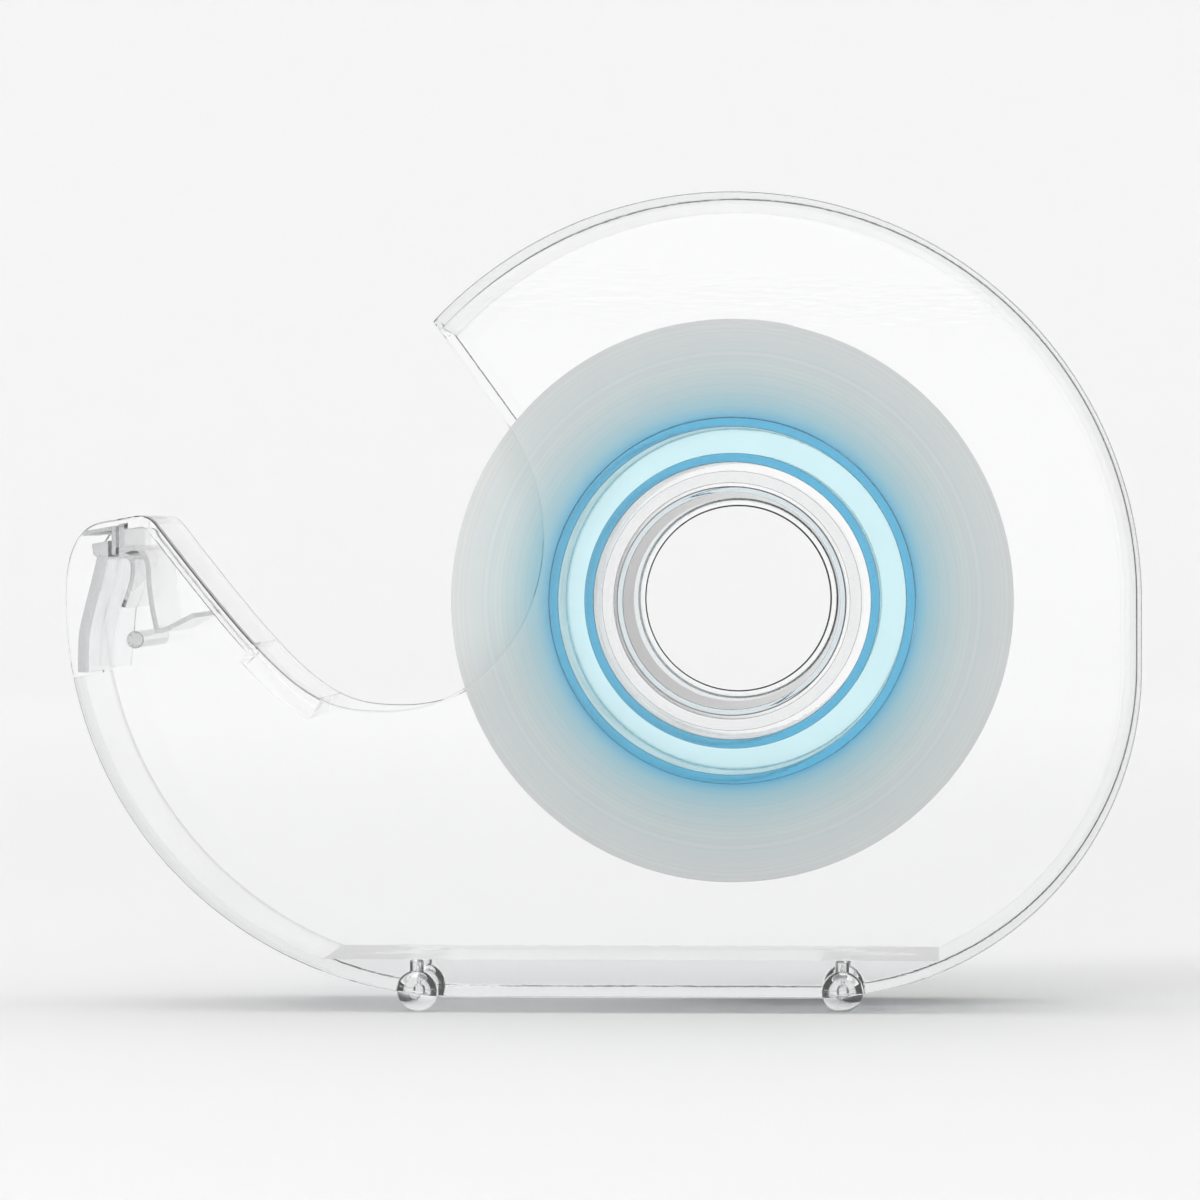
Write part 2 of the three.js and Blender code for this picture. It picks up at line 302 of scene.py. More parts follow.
def as_object(name: str, bm: bmesh.types.BMesh) -> bpy.types.Object:
    """Turns a bmesh into a linked object with outward faces.

    Args:
        name: Name of the object and its mesh.
        bm: The mesh, freed here.

    Returns:
        The new object, at the origin.
    """
    bmesh.ops.recalc_face_normals(bm, faces=bm.faces[:])
    mesh = bpy.data.meshes.new(name)
    bm.to_mesh(mesh)
    bm.free()
    piece = bpy.data.objects.new(name, mesh)
    bpy.context.scene.collection.objects.link(piece)
    return piece


def slab(
    name: str, outline: Outline, low: float, high: float,
    rounded: Side = Side.NONE, rounding: float = 0.3, segments: int = 4,
) -> bpy.types.Object:
    """A flat piece of an outline, with rounded edges on the side asked for.

    Args:
        name: Name of the object.
        outline: Closed outline in millimetres from the hub.
        low: Front in millimetres.
        high: Back in millimetres.
        rounded: The side whose edges are rounded.
        rounding: Their radius in millimetres.
        segments: Steps of the rounding.

    Returns:
        The solid.
    """
    bm = bmesh.new()
    rim = [bm.verts.new(in_frame(p, low)) for p in outline]
    edges = [bm.edges.new((a, b)) for a, b in zip(rim, rim[1:] + rim[:1])]
    bmesh.ops.edgeloop_fill(bm, edges=edges)
    grown = bmesh.ops.extrude_face_region(bm, geom=bm.faces[:])["geom"]
    moved = [v for v in grown if isinstance(v, bmesh.types.BMVert)]
    bmesh.ops.translate(bm, verts=moved, vec=Vector((0, (high - low) * MM, 0)))
    bmesh.ops.holes_fill(bm, edges=[e for e in bm.edges if e.is_boundary], sides=0)
    bmesh.ops.recalc_face_normals(bm, faces=bm.faces[:])
    if rounded is not Side.NONE:
        face = (low if rounded is Side.FRONT else high) * MM
        picked = [e for e in bm.edges if all(abs(v.co.y - face) < MERGE for v in e.verts)]
        bmesh.ops.bevel(
            bm, geom=picked, offset=rounding * MM, segments=segments, profile=0.5,
            affect="EDGES", material=-1, clamp_overlap=False)
    return as_object(name, bm)


def turned(
    name: str, profile: Section, steps: int,
    centre: Vector = HUB, axis: Vector = Vector((0, 1, 0)),
) -> bpy.types.Object:
    """A turned piece about a line.

    Args:
        name: Name of the object.
        profile: Points of (radius, place along the axis) in millimetres. A profile that
            starts away from the axis is closed on itself.
        steps: Steps round the turn.
        centre: A point of the axis, where the profile's second number is 0.
        axis: Direction of the axis, +Y or +Z.

    Returns:
        The closed solid.
    """
    bm = bmesh.new()
    out = Vector((1, 0, 0))
    points = [centre + out * r * MM + axis * h * MM for r, h in profile]
    verts = [bm.verts.new(p) for p in points]
    pairs = list(zip(verts, verts[1:]))
    if profile[0][0] > 0:
        pairs.append((verts[-1], verts[0]))
    edges = [bm.edges.new(pair) for pair in pairs]
    bmesh.ops.spin(
        bm, geom=verts + edges, cent=centre, axis=axis, angle=TURN, steps=steps, use_merge=True)
    bmesh.ops.remove_doubles(bm, verts=bm.verts[:], dist=MERGE)
    return as_object(name, bm)


def rounded_section(corners: Section, rounding: float, steps: int = 4) -> Section:
    """A closed section with every corner rounded.

    Args:
        corners: The section's corners in order.
        rounding: Distance from a corner to where its rounding starts.
        steps: Straight pieces of each rounding.

    Returns:
        The rounded section's points.
    """
    points = []
    count = len(corners)
    room = 2.2  # an edge is at least this many times as long as either of its roundings
    for index, corner in enumerate(corners):
        here = Vector(corner)
        before = Vector(corners[index - 1]) - here
        after = Vector(corners[(index + 1) % count]) - here
        start = here + before.normalized() * min(rounding, before.length / room)
        end = here + after.normalized() * min(rounding, after.length / room)
        points += [tuple(p) for p in bezier([start, here, end], steps)]
    return points


def combine(body: bpy.types.Object, tool: bpy.types.Object, how: Join) -> bpy.types.Object:
    """Adds a solid to another or cuts it away, and removes the tool.

    Args:
        body: The solid that changes.
        tool: The solid that acts on it, deleted afterwards.
        how: Add or cut.

    Returns:
        The body.
    """
    modifier = body.modifiers.new("combine", "BOOLEAN")
    modifier.operation = how.value
    modifier.solver = "EXACT"
    modifier.object = tool
    shape = body.evaluated_get(bpy.context.evaluated_depsgraph_get())
    mesh = bpy.data.meshes.new_from_object(shape)
    body.modifiers.clear()
    old = body.data
    body.data = mesh
    mesh.name = body.name
    bpy.data.meshes.remove(old)
    bpy.data.objects.remove(tool)
    return body


def finish_surface(piece: bpy.types.Object, sharp: float = 15.0) -> None:
    """Smooths a piece's shading up to an angle, with flat faces kept flat.

    Args:
        piece: The piece.
        sharp: Edges steeper than this stay sharp, in degrees.
    """
    bm = bmesh.new()
    bm.from_mesh(piece.data)
    bmesh.ops.remove_doubles(bm, verts=bm.verts[:], dist=2 * MERGE)
    for face in bm.faces:
        face.smooth = True
    limit = math.radians(sharp)
    for edge in bm.edges:
        edge.smooth = len(edge.link_faces) == 2 and edge.calc_face_angle(math.pi) < limit
    bm.to_mesh(piece.data)
    bm.free()
    weighted = piece.modifiers.new("even faces", "WEIGHTED_NORMAL")
    weighted.keep_sharp = True
    weighted.weight = 80


def refined(node: str, name: str, rounding: float, segments: int = 2) -> bpy.types.Object:
    """A finer copy of a frame piece, merged and with its sharp edges rounded.

    Args:
        node: The frame's piece.
        name: Name of the copy.
        rounding: Radius of its edges in millimetres.
        segments: Steps of each rounding.

    Returns:
        The copy, which stands for the frame's piece.
    """
    bm = bmesh.new()
    bm.from_mesh(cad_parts[node].data)
    bmesh.ops.remove_doubles(bm, verts=bm.verts[:], dist=20 * MERGE)
    flat, corner = math.radians(0.5), math.radians(35)
    bmesh.ops.dissolve_limit(bm, angle_limit=flat, verts=bm.verts[:], edges=bm.edges[:])
    edges = [e for e in bm.edges if len(e.link_faces) == 2 and e.calc_face_angle(0) > corner]
    bmesh.ops.bevel(
        bm, geom=edges, offset=rounding * MM, segments=segments, profile=0.5,
        affect="EDGES", material=-1, clamp_overlap=True)
    piece = as_object(name, bm)
    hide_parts(node)
    return piece


def settle(piece: bpy.types.Object, body: str, material: bpy.types.Material) -> None:
    """Gives a finished piece its body and its material, and reports it."""
    piece.data.materials.clear()
    piece.data.materials.append(material)
    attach(piece, body)
    log.info("%s: %d faces, rides on %s", piece.name, len(piece.data.polygons), body)


# Finishes --------------------------------------------------------------------------
class NodeBench:
    """Adds and wires the nodes of one material."""

    def __init__(self, name: str) -> None:
        """Starts an empty node tree with a Principled shader."""
        self.material = bpy.data.materials.new(name)
        self.material.use_nodes = True
        self.tree = self.material.node_tree
        self.shader = self.tree.nodes["Principled BSDF"]
        self.output = self.tree.nodes["Material Output"]

    def add(self, kind: str, **values: object) -> bpy.types.Node:
        """A new node, with attributes or input sockets set by name."""
        node = self.tree.nodes.new(kind)
        for name, value in values.items():
            if hasattr(node, name):
                setattr(node, name, value)
            else:
                node.inputs[name.replace("_", " ")].default_value = value
        return node

    def wire(self, source: bpy.types.NodeSocket, target: bpy.types.NodeSocket) -> None:
        """Links two sockets."""
        self.tree.links.new(source, target)

    def place(self, scale: tuple[float, float, float] = (1, 1, 1)) -> bpy.types.NodeSocket:
        """Object coordinates centred on the hub and scaled."""
        where = self.add("ShaderNodeTexCoord")
        centred = self.add("ShaderNodeMapping")
        centred.inputs["Location"].default_value = [-c * s for c, s in zip(HUB, scale)]
        centred.inputs["Scale"].default_value = scale
        self.wire(where.outputs["Object"], centred.inputs["Vector"])
        return centred.outputs["Vector"]

    def noise(self, place: bpy.types.NodeSocket, scale: float, detail: float) -> bpy.types.NodeSocket:
        """Soft noise with a number of blots per metre and of finer layers."""
        node = self.add("ShaderNodeTexNoise", Scale=scale, Detail=detail, Roughness=0.55)
        self.wire(place, node.inputs["Vector"])
        return node.outputs["Fac"]

    def spread(self, source: bpy.types.NodeSocket, low: float, high: float) -> bpy.types.NodeSocket:
        """Maps the middle of a noise's range to low and high."""
        node = self.add("ShaderNodeMapRange")
        node.inputs["From Min"].default_value = 0.3
        node.inputs["From Max"].default_value = 0.7
        node.inputs["To Min"].default_value = low
        node.inputs["To Max"].default_value = high
        self.wire(source, node.inputs["Value"])
        return node.outputs["Result"]

    def bump(self, height: bpy.types.NodeSocket, strength: float, distance: float) -> None:
        """Drives the shader's normal from a height."""
        node = self.add("ShaderNodeBump", Strength=strength, Distance=distance)
        self.wire(height, node.inputs["Height"])
        self.wire(node.outputs["Normal"], self.shader.inputs["Normal"])

    def pass_lamps(self, tint: tuple[float, float, float]) -> None:
        """Lets lamp light through the piece in a tint, as thin clear plastic does."""
        path = self.add("ShaderNodeLightPath")
        through = self.add("ShaderNodeBsdfTransparent", Color=(*tint, 1))
        mix = self.add("ShaderNodeMixShader")
        self.wire(path.outputs["Is Shadow Ray"], mix.inputs[0])
        self.wire(self.shader.outputs["BSDF"], mix.inputs[1])
        self.wire(through.outputs["BSDF"], mix.inputs[2])
        self.wire(mix.outputs["Shader"], self.output.inputs["Surface"])

    def fill(self, kept: tuple[float, float, float], density: float) -> None:
        """Lets the piece take up light over the length that it runs inside."""
        depth = self.add("ShaderNodeVolumeAbsorption")
        depth.inputs["Color"].default_value = (*kept, 1)
        depth.inputs["Density"].default_value = density
        self.wire(depth.outputs["Volume"], self.output.inputs["Volume"])


@dataclass(frozen=True)
class ClearPlastic:
    """Polished clear polystyrene with smudges and fine rub marks."""

    name: str = "clear polystyrene"
    tint: tuple[float, float, float] = (0.998, 0.999, 1.0)
    lamp_tint: tuple[float, float, float] = (0.84, 0.85, 0.86)
    kept: tuple[float, float, float] = (0.2, 0.23, 0.26)
    density: float = 8.0
    index: float = 1.5
    polish: tuple[float, float] = (0.01, 0.05)

    def make(self) -> bpy.types.Material:
        """The material."""
        bench = NodeBench(self.name)
        shader = bench.shader
        shader.inputs["Base Color"].default_value = (*self.tint, 1)
        shader.inputs["Transmission Weight"].default_value = 1
        shader.inputs["IOR"].default_value = self.index
        smudges = bench.noise(bench.place(), scale=60, detail=4)
        bench.wire(bench.spread(smudges, *self.polish), shader.inputs["Roughness"])
        rubs = bench.noise(bench.place((1, 1, 5)), scale=420, detail=3)
        bench.bump(rubs, strength=0.12, distance=0.00002)
        bench.pass_lamps(self.lamp_tint)
        bench.fill(self.kept, self.density)
        return bench.material


@dataclass(frozen=True)
class BluePlastic:
    """Translucent blue moulded core: it deepens with the length that light runs in it."""

    name: str = "translucent blue core"
    tint: tuple[float, float, float] = (0.82, 0.97, 1.0)
    lamp_tint: tuple[float, float, float] = (0.75, 0.9, 0.97)
    kept: tuple[float, float, float] = (0.05, 0.81, 0.92)
    density: float = 210.0
    index: float = 1.5
    polish: tuple[float, float] = (0.06, 0.16)

    def make(self) -> bpy.types.Material:
        """The material."""
        bench = NodeBench(self.name)
        shader = bench.shader
        shader.inputs["Base Color"].default_value = (*self.tint, 1)
        shader.inputs["Transmission Weight"].default_value = 1
        shader.inputs["IOR"].default_value = self.index
        cloud = bench.noise(bench.place(), scale=150, detail=4)
        bench.wire(bench.spread(cloud, *self.polish), shader.inputs["Roughness"])
        lines = bench.noise(bench.place((1, 12, 1)), scale=160, detail=3)
        bench.bump(lines, strength=0.25, distance=0.00003)
        bench.pass_lamps(self.lamp_tint)
        bench.fill(self.kept, self.density)
        return bench.material


@dataclass(frozen=True)
class WoundTape:
    """Matte film wound on a blue core: its own pale colour at the outside, with the core's blue light
    painted into the colour of the inner turns.
    """

    inner: float
    outer: float
    name: str = "wound matte tape"
    polish: tuple[float, float] = (0.42, 0.56)
    # painted light: the blue towards the core stands in for the core's light shining into the inner turns;
    # only the outer stops are the tape's own colour
    own_colour_and_painted_blue_light: tuple[tuple[float, tuple[float, float, float]], ...] = (
        (0.0, (0.045, 0.39, 0.64)),
        (0.045, (0.17, 0.49, 0.65)),
        (0.13, (0.30, 0.54, 0.62)),
        (0.28, (0.42, 0.58, 0.615)),
        (0.5, (0.545, 0.615, 0.62)),
        (1.0, (0.62, 0.635, 0.625)),
    )

    def make(self) -> bpy.types.Material:
        """The material."""
        bench = NodeBench(self.name)
        shader = bench.shader
        flat = bench.place((1, 0, 1))
        radius = bench.add("ShaderNodeVectorMath", operation="LENGTH")
        bench.wire(flat, radius.inputs[0])
        share = bench.add("ShaderNodeMapRange")
        share.inputs["From Min"].default_value = self.inner * MM
        share.inputs["From Max"].default_value = self.outer * MM
        bench.wire(radius.outputs["Value"], share.inputs["Value"])
        # this ramp paints the core's blue light into the tape's colour, by the radius from the hub
        ramp = bench.add("ShaderNodeValToRGB")
        ramp.color_ramp.interpolation = "B_SPLINE"
        stops = ramp.color_ramp.elements
        while len(stops) < len(self.own_colour_and_painted_blue_light):
            stops.new(0.5)
        for stop, (place, colour) in zip(stops, self.own_colour_and_painted_blue_light):
            stop.position = place
            stop.color = (*colour, 1)
        bench.wire(share.outputs["Result"], ramp.inputs["Fac"])
        turns = bench.add("ShaderNodeTexNoise", noise_dimensions="1D", Scale=3200, Detail=3)
        bench.wire(radius.outputs["Value"], turns.inputs["W"])
        cloud = bench.noise(bench.place(), scale=70, detail=3)
        both = bench.add("ShaderNodeMath", operation="MULTIPLY")
        bench.wire(bench.spread(turns.outputs["Fac"], low=0.97, high=1.03), both.inputs[0])
        bench.wire(bench.spread(cloud, low=0.985, high=1.015), both.inputs[1])
        tinted = bench.add("ShaderNodeVectorMath", operation="SCALE")
        bench.wire(ramp.outputs["Color"], tinted.inputs[0])
        bench.wire(both.outputs["Value"], tinted.inputs["Scale"])
        bench.wire(tinted.outputs["Vector"], shader.inputs["Base Color"])
        bench.wire(bench.spread(cloud, *self.polish), shader.inputs["Roughness"])
        bench.bump(turns.outputs["Fac"], strength=0.25, distance=0.00004)
        return bench.material


@dataclass(frozen=True)
class StampedSteel:
    """Stamped steel strip, brushed along the cutter."""

    name: str = "stamped steel"
    dark: tuple[float, float, float] = (0.36, 0.36, 0.37)
    light: tuple[float, float, float] = (0.62, 0.62, 0.63)
    polish: tuple[float, float] = (0.22, 0.42)

    def make(self) -> bpy.types.Material:
        """The material."""
        bench = NodeBench(self.name)
        shader = bench.shader
        shader.inputs["Metallic"].default_value = 1
        shader.inputs["Anisotropic"].default_value = 0.4
        brushed = bench.noise(bench.place((6, 0.3, 6)), scale=900, detail=3)
        stains = bench.noise(bench.place(), scale=500, detail=4)
        tone = bench.add("ShaderNodeValToRGB")
        for stop, colour in zip(tone.color_ramp.elements, (self.dark, self.light)):
            stop.color = (*colour, 1)
        bench.wire(stains, tone.inputs["Fac"])
        bench.wire(tone.outputs["Color"], shader.inputs["Base Color"])
        bench.wire(bench.spread(brushed, *self.polish), shader.inputs["Roughness"])
        bench.bump(brushed, strength=0.3, distance=0.00002)
        return bench.material


@dataclass(frozen=True)
class PaleBoard:
    """The plain pale floor and its sweep."""

    name: str = "pale board"
    near: float = 0.15
    far: float = 1.1
    near_tone: float = 0.78
    far_tone: float = 0.88

    def make(self) -> bpy.types.Material:
        """The material."""
        bench = NodeBench(self.name)
        reach = bench.add("ShaderNodeVectorMath", operation="LENGTH")
        bench.wire(bench.place(), reach.inputs[0])
        tone = bench.add("ShaderNodeMapRange", interpolation_type="SMOOTHSTEP")
        tone.inputs["From Min"].default_value = self.near
        tone.inputs["From Max"].default_value = self.far
        tone.inputs["To Min"].default_value = self.near_tone
        tone.inputs["To Max"].default_value = self.far_tone
        bench.wire(reach.outputs["Value"], tone.inputs["Value"])
        bench.wire(tone.outputs["Result"], bench.shader.inputs["Base Color"])
        bench.shader.inputs["Roughness"].default_value = 0.9
        bench.shader.inputs["Specular IOR Level"].default_value = 0.1
        return bench.material


# Sub-assemblies --------------------------------------------------------------------
@dataclass
class ClearCase:
    """The two clear shells and the four ball feet."""

    edge: CaseEdge = field(default_factory=CaseEdge)
    case_depth: float = 24.0
    plate_wall: float = 1.1
    rim_wall: float = 1.0
    seam_gap: float = 0.3
    plate_rounding: float = 0.2
    boss_radius: float = 11.9
    boss_bore: float = 10.8
    boss_sink: float = 0.4
    boss_rounding: float = 0.12
    tube_radius: float = 10.5
    tube_mouth_radius: float = 9.9
    tube_end_radius: float = 9.1
    tube_rounding: float = 0.1
    rear_hole_radius: float = 8.7
    rear_hole_chamfer: float = 0.3
    lip_wall: float = 0.6
    lip_depth: float = 1.2
    lip_root: float = 0.3
    lip_share: float = 0.55
    foot_radius: float = 1.92
    foot_flat: float = 0.12
    foot_peg_radius: float = 0.6
    foot_peg_chamfer: float = 0.2
    foot_fit: float = 0.05
    foot_steps: int = 48
    ball_steps: int = 18
    round_steps: int = 128
    cut_past: float = 1.0
    pieces: dict[str, tuple[bpy.types.Object, str]] = field(default_factory=dict)

    @property
    def inner(self) -> float:
        """Half of the room between the side plates."""
        return self.case_depth / 2 - self.plate_wall

    def foot_places(self) -> dict[str, Vector]:
        """Centre of each foot's ball, from the frame's feet."""
        places = {}
        height = (self.foot_radius - self.foot_flat) * MM
        for end in ("front", "back"):
            for side in ("left", "right"):
                low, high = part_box(f"foot_{end}_{side}")
                places[f"foot_{end}_{side}"] = Vector(((low.x + high.x) / 2, (low.y + high.y) / 2, height))
        return places

    def foot_profile(self, node: str, extra: float) -> Section:
        """Section of a ball foot and its peg, grown by extra.

        Args:
            node: The frame's foot, whose height the peg follows.
            extra: How much larger than the foot, in millimetres.

        Returns:
            Points of (radius, height from the ball's centre).
        """
        radius = self.foot_radius + extra
        peg = self.foot_peg_radius + extra
        bottom = self.foot_radius - self.foot_flat + extra
        low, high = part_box(node)
        top = (high.z - low.z) / MM - self.foot_radius + self.foot_flat + 1.5 * extra
        start, end = -math.asin(bottom / radius), math.acos(peg / radius)
        ball = arc(0, 0, radius, start, end, self.ball_steps)
        chamfer = self.foot_peg_chamfer
        return [(0, -bottom), *map(tuple, ball), (peg, top - chamfer), (peg - chamfer, top), (0, top)]

    def build_rear_shell(self) -> bpy.types.Object:
        """Back plate, rim, solid floor and the hub's outer sleeve, in one moulding."""
        back = self.case_depth / 2
        front = -self.inner + self.seam_gap
        shell = slab(
            "rear_shell_clear", self.edge.whole(), front, back, Side.BACK, self.plate_rounding)
        room = self.edge.chamber(self.rim_wall)
        combine(shell, slab("chamber", room, front - self.cut_past, self.inner), Join.CUT)
        sleeve_front, sleeve_back = -self.inner + 2 * self.seam_gap, back - self.boss_sink
        section = rounded_section([
            (self.boss_bore, sleeve_front), (self.boss_radius, sleeve_front),
            (self.boss_radius, sleeve_back), (self.boss_bore, sleeve_back)], self.boss_rounding)
        combine(shell, turned("sleeve", section, self.round_steps), Join.ADD)
        chamfer = self.rear_hole_chamfer
        hole = [
            (0, -back), (self.rear_hole_radius, -back), (self.rear_hole_radius, back - chamfer),
            (self.rear_hole_radius + chamfer, back + chamfer), (0, back + chamfer)]
        combine(shell, turned("hole", hole, self.round_steps), Join.CUT)
        for node, place in self.foot_places().items():
            profile = self.foot_profile(node, self.foot_fit)
            combine(shell, turned(f"{node}_socket", profile, self.foot_steps, place, UP), Join.CUT)
        return shell

    def build_front_shell(self) -> bpy.types.Object:
        """The loose cover: a plate with a locating lip and the hollow hub."""
        front = -self.case_depth / 2
        cover = slab(
            "front_shell_clear", self.edge.whole(), front, -self.inner, Side.FRONT, self.plate_rounding)
        near = self.rim_wall + self.seam_gap
        lip = slab(
            "lip", self.edge.lip(near, self.lip_wall, self.lip_share),
            -self.inner - self.lip_root, -self.inner + self.lip_depth)
        combine(cover, lip, Join.ADD)
        middle = (self.tube_mouth_radius + self.tube_radius) / 2
        opening = [(0, front - self.cut_past), (middle, front - self.cut_past), (middle, 0), (0, 0)]
        combine(cover, turned("opening", opening, self.round_steps), Join.CUT)
        tube_end = self.inner - self.seam_gap
        section = rounded_section([
            (self.tube_mouth_radius, front), (self.tube_radius, front),
            (self.tube_radius, tube_end), (self.tube_end_radius, tube_end)], self.tube_rounding)
        combine(cover, turned("tube", section, self.round_steps), Join.ADD)
        return cover

    def build_feet(self) -> None:
        """Four ball feet, each with a small flat and a peg in the floor."""
        for node, place in self.foot_places().items():
            foot = turned(f"{node}_clear", self.foot_profile(node, 0), self.foot_steps, place, UP)
            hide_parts(node)
            self.pieces[foot.name] = (foot, "case")

    def build(self) -> None:
        """Makes every piece of the case."""
        rear = self.build_rear_shell()
        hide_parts("rear_shell")
        self.pieces[rear.name] = (rear, "case")
        cover = self.build_front_shell()
        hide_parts("front_shell")
        self.pieces[cover.name] = (cover, "cover")
        self.build_feet()

    def paint_core_light_on_tube(self, cover: bpy.types.Object, painted_core_light_tint: bpy.types.Material) -> None:
        """Gives the hollow hub of the cover a pale blue tint: painted light, standing in for the blue light
        from the core round it.
        """
        cover.data.materials.append(painted_core_light_tint)
        margin = 0.05
        outside = (self.tube_radius + margin) * MM
        # faces inside the tube's radius take the tint of painted core light
        for face in cover.data.polygons:
            corners = [cover.data.vertices[index].co for index in face.vertices]
            if all(math.hypot(spot.x - HUB.x, spot.z - HUB.z) < outside for spot in corners):
                face.material_index = 1

    def dress(
        self, clear: bpy.types.Material, foot: bpy.types.Material, painted_core_light_tint: bpy.types.Material,
    ) -> None:
        """Gives the shells and the feet their clear finishes, and the hollow hub its painted blue core
        light.
        """
        for piece, body in self.pieces.values():
            finish_surface(piece)
            settle(piece, body, foot if piece.name.startswith("foot") else clear)
        self.paint_core_light_on_tube(self.pieces["front_shell_clear"][0], painted_core_light_tint)


@dataclass
class TapeRoll:
    """A roll of matte tape wound on a moulded core."""

    tape_width: float = 19.0
    core_bore_radius: float = 12.7
    core_wall: float = 0.85
    core_channel: float = 2.4
    core_web_thickness: float = 1.1
    core_web_depth: float = 14.0
    core_rounding: float = 0.1
    tape_rounding: float = 0.08
    tape_bore: float = 16.83
    roll_radius: float = 25.85
    end_step: float = 0.09
    end_angle: float = math.radians(77)
    round_steps: int = 160
    core: bpy.types.Object | None = None
    tape: bpy.types.Object | None = None

    def build_core(self) -> bpy.types.Object:
        """Two rings joined by a web towards the back."""
        front, back = -self.tape_width / 2, self.tape_width / 2
        inner = self.core_bore_radius + self.core_wall
        outer = inner + self.core_channel
        rim = outer + self.core_wall
        web_front = front + self.core_web_depth
        web_back = web_front + self.core_web_thickness
        section = rounded_section([
            (self.core_bore_radius, front), (inner, front), (inner, web_front), (outer, web_front),
            (outer, front), (rim, front), (rim, back), (outer, back), (outer, web_back),
            (inner, web_back), (inner, back), (self.core_bore_radius, back)], self.core_rounding)
        core = turned("spool_core_blue", section, self.round_steps)
        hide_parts("spool_core")
        return core

    def build_tape(self) -> bpy.types.Object:
        """The wound tape, with the step of its loose end on the outside."""
        half = self.tape_width / 2
        section = rounded_section([
            (self.tape_bore, -half), (self.roll_radius, -half),
            (self.roll_radius, half), (self.tape_bore, half)], self.tape_rounding, 3)
        tape = turned("tape_roll_wound", section, self.round_steps)
        bm = bmesh.new()
        bm.from_mesh(tape.data)
        skin = 0.5
        outer = (self.roll_radius - skin) * MM
        for vert in bm.verts:
            flat = Vector((vert.co.x - HUB.x, vert.co.z - HUB.z))
            if flat.length > outer:
                turn = (math.atan2(flat.y, flat.x) - self.end_angle) % TURN
                shrink = 1 - self.end_step * MM * turn / TURN / flat.length
                vert.co.x = HUB.x + flat.x * shrink
                vert.co.z = HUB.z + flat.y * shrink
        bm.to_mesh(tape.data)
        bm.free()
        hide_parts("tape_roll")
        return tape

    def build(self) -> None:
        """Makes the core and the tape."""
        self.core = self.build_core()
        self.tape = self.build_tape()

    def dress(self, blue: bpy.types.Material, matte: bpy.types.Material) -> None:
        """Gives the core and the tape their finishes."""
        finish_surface(self.core)
        settle(self.core, "roll", blue)
        finish_surface(self.tape)
        settle(self.tape, "roll", matte)


@dataclass
class NoseInsert:
    """The nose's holder, toothed cutter, landing ramp and pin."""

    roundings: dict[str, float] = field(default_factory=lambda: {
        "cutter_holder": 0.06, "landing_ramp": 0.12, "nose_pin": 0.12})
    blade_rounding: float = 0.03
    clear_pieces: list[bpy.types.Object] = field(default_factory=list)
    blade: bpy.types.Object | None = None

    def build(self) -> None:
        """Makes the insert's pieces."""
        for node, rounding in self.roundings.items():
            self.clear_pieces.append(refined(node, f"{node}_clear", rounding))
        self.blade = refined("cutter_blade", "cutter_blade_steel", self.blade_rounding, 1)

    def dress(
        self, insert: bpy.types.Material, ramp: bpy.types.Material, steel: bpy.types.Material,
    ) -> None:
        """Gives the holder and the pin the insert's finish, the ramp its own, and the blade steel."""
        for piece in self.clear_pieces:
            finish_surface(piece)
            settle(piece, "case", ramp if piece.name.startswith("landing") else insert)
        finish_surface(self.blade)
        settle(self.blade, "case", steel)


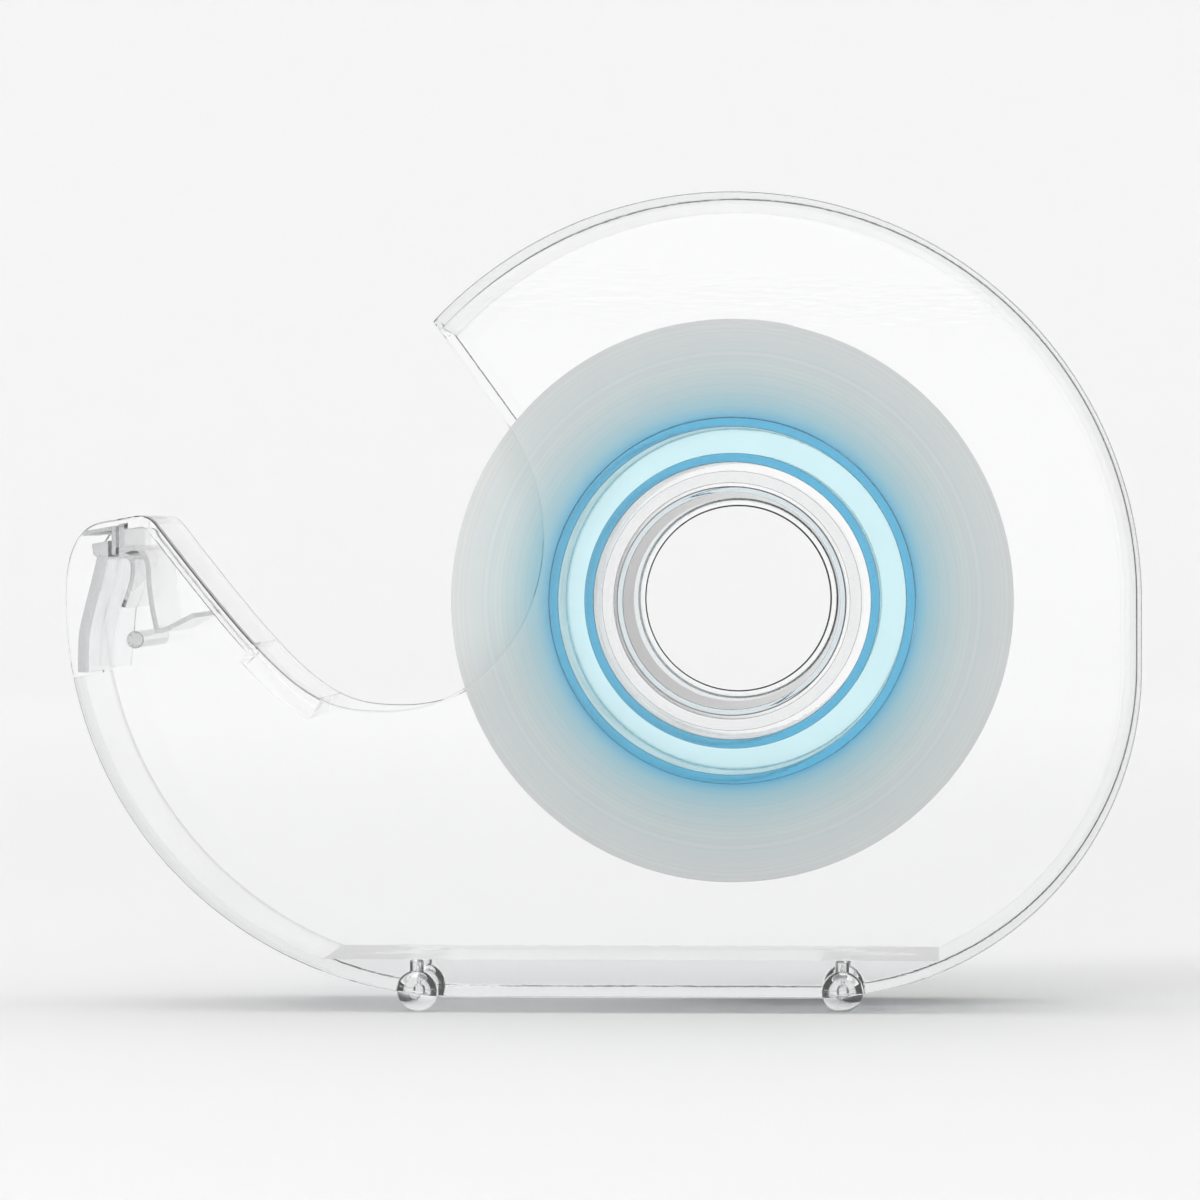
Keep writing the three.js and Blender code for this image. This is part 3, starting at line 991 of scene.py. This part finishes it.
@dataclass
class Studio:
    """Pale floor with a round sweep, soft lights and the camera."""

    floor_radius: float = 2.2
    floor_steps: int = 96
    sweep_radius: float = 0.9
    sweep_steps: int = 16
    wall_height: float = 2.6
    camera_place: Vector = field(default_factory=lambda: Vector((30.0, -643.6, 45.15)) * MM)
    camera_aim: Vector = field(default_factory=lambda: Vector((-0.16, -12.0, 37.84)) * MM)
    view_width: float = 109.68
    sensor: float = 36.0
    surround: float = 1.19
    bounces: int = 28
    clear_bounces: int = 32

    def build_floor(self) -> None:
        """A round floor that curves up into a wall on all sides."""
        flat = self.floor_radius - self.sweep_radius
        profile = [(0.0, 0.0), (flat / 2, 0.0)]
        for step in range(self.sweep_steps + 1):
            angle = math.pi / 2 * step / self.sweep_steps
            rise = self.sweep_radius * (1 - math.cos(angle))
            profile.append((flat + self.sweep_radius * math.sin(angle), rise))
        profile.append((self.floor_radius, self.wall_height))
        bm = bmesh.new()
        verts = [bm.verts.new((r, 0, z)) for r, z in profile]
        edges = [bm.edges.new(pair) for pair in zip(verts, verts[1:])]
        bmesh.ops.spin(
            bm, geom=verts + edges, cent=(0, 0, 0), axis=UP, angle=TURN,
            steps=self.floor_steps, use_merge=True)
        bmesh.ops.remove_doubles(bm, verts=bm.verts[:], dist=10 * MERGE)
        floor = as_object("studio_floor", bm)
        for polygon in floor.data.polygons:
            polygon.use_smooth = True
        floor.data.materials.append(PaleBoard().make())

    def softbox(self, name: str, place: tuple[float, float, float], size: float, power: float) -> None:
        """A square soft light aimed at the hub, seen only in reflections.

        Args:
            name: Name of the light.
            place: Its centre in metres.
            size: Side in metres.
            power: Watts.
        """
        data = bpy.data.lights.new(name, "AREA")
        data.size = size
        data.energy = power
        lamp = bpy.data.objects.new(name, data)
        lamp.location = place
        lamp.rotation_euler = (HUB - Vector(place)).to_track_quat("-Z", "Y").to_euler()
        lamp.visible_camera = False
        lamp.visible_transmission = False
        bpy.context.scene.collection.objects.link(lamp)

    def build_lights(self) -> None:
        """An even white surround, a front fill and a key from the left."""
        world = bpy.data.worlds.new("soft surround")
        world.use_nodes = True
        surround = world.node_tree.nodes["Background"]
        surround.inputs["Color"].default_value = (1, 1, 1, 1)
        surround.inputs["Strength"].default_value = self.surround
        bpy.context.scene.world = world
        self.softbox("front fill", place=(0.1, -1.7, 0.35), size=1.3, power=7.4)
        self.softbox("key", place=(-0.9, -0.95, 1.1), size=0.5, power=6.5)

    def build_camera(self) -> None:
        """A long lens in front of the cover, a little to the right and above."""
        data = bpy.data.cameras.new("view")
        distance = (self.camera_aim - self.camera_place).length
        data.sensor_width = self.sensor
        data.lens = self.sensor * distance / (self.view_width * MM)
        data.clip_start = 0.01
        camera = bpy.data.objects.new("view", data)
        camera.location = self.camera_place
        aim = self.camera_aim - self.camera_place
        camera.rotation_euler = aim.to_track_quat("-Z", "Y").to_euler()
        bpy.context.scene.collection.objects.link(camera)
        bpy.context.scene.camera = camera

    def build(self) -> None:
        """Sets the stage."""
        self.build_floor()
        self.build_lights()
        self.build_camera()
        scene = bpy.context.scene
        scene.view_settings.view_transform = "Standard"
        scene.cycles.max_bounces = self.bounces
        scene.cycles.transmission_bounces = self.bounces
        scene.cycles.transparent_max_bounces = self.clear_bounces
        log.info("studio is set")


def main() -> None:
    """Builds and dresses the dispenser, piece by piece."""
    logging.basicConfig(level=logging.INFO, format="%(name)s: %(message)s")
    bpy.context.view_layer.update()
    case = ClearCase()
    case.build()
    foot = ClearPlastic("clear polystyrene foot", index=1.3)
    # painted light: the hub tube's pale blue tint stands in for the blue light from the core round it
    painted_core_light_tint = ClearPlastic("clear hub, painted blue light from the core", (0.9, 0.975, 1.0), index=1.25)
    case.dress(ClearPlastic().make(), foot.make(), painted_core_light_tint.make())
    roll = TapeRoll()
    roll.build()
    roll.dress(BluePlastic().make(), WoundTape(roll.tape_bore, roll.roll_radius).make())
    nose = NoseInsert()
    nose.build()
    insert = ClearPlastic("clear insert", (0.95, 0.955, 0.96), kept=(0.2, 0.2, 0.22), density=25.0)
    ramp = ClearPlastic("clear polystyrene ramp", (1.0, 1.0, 1.0), density=0.2, index=1.2)
    nose.dress(insert.make(), ramp.make(), StampedSteel().make())
    Studio().build()


if __name__ == "__main__":
    main()
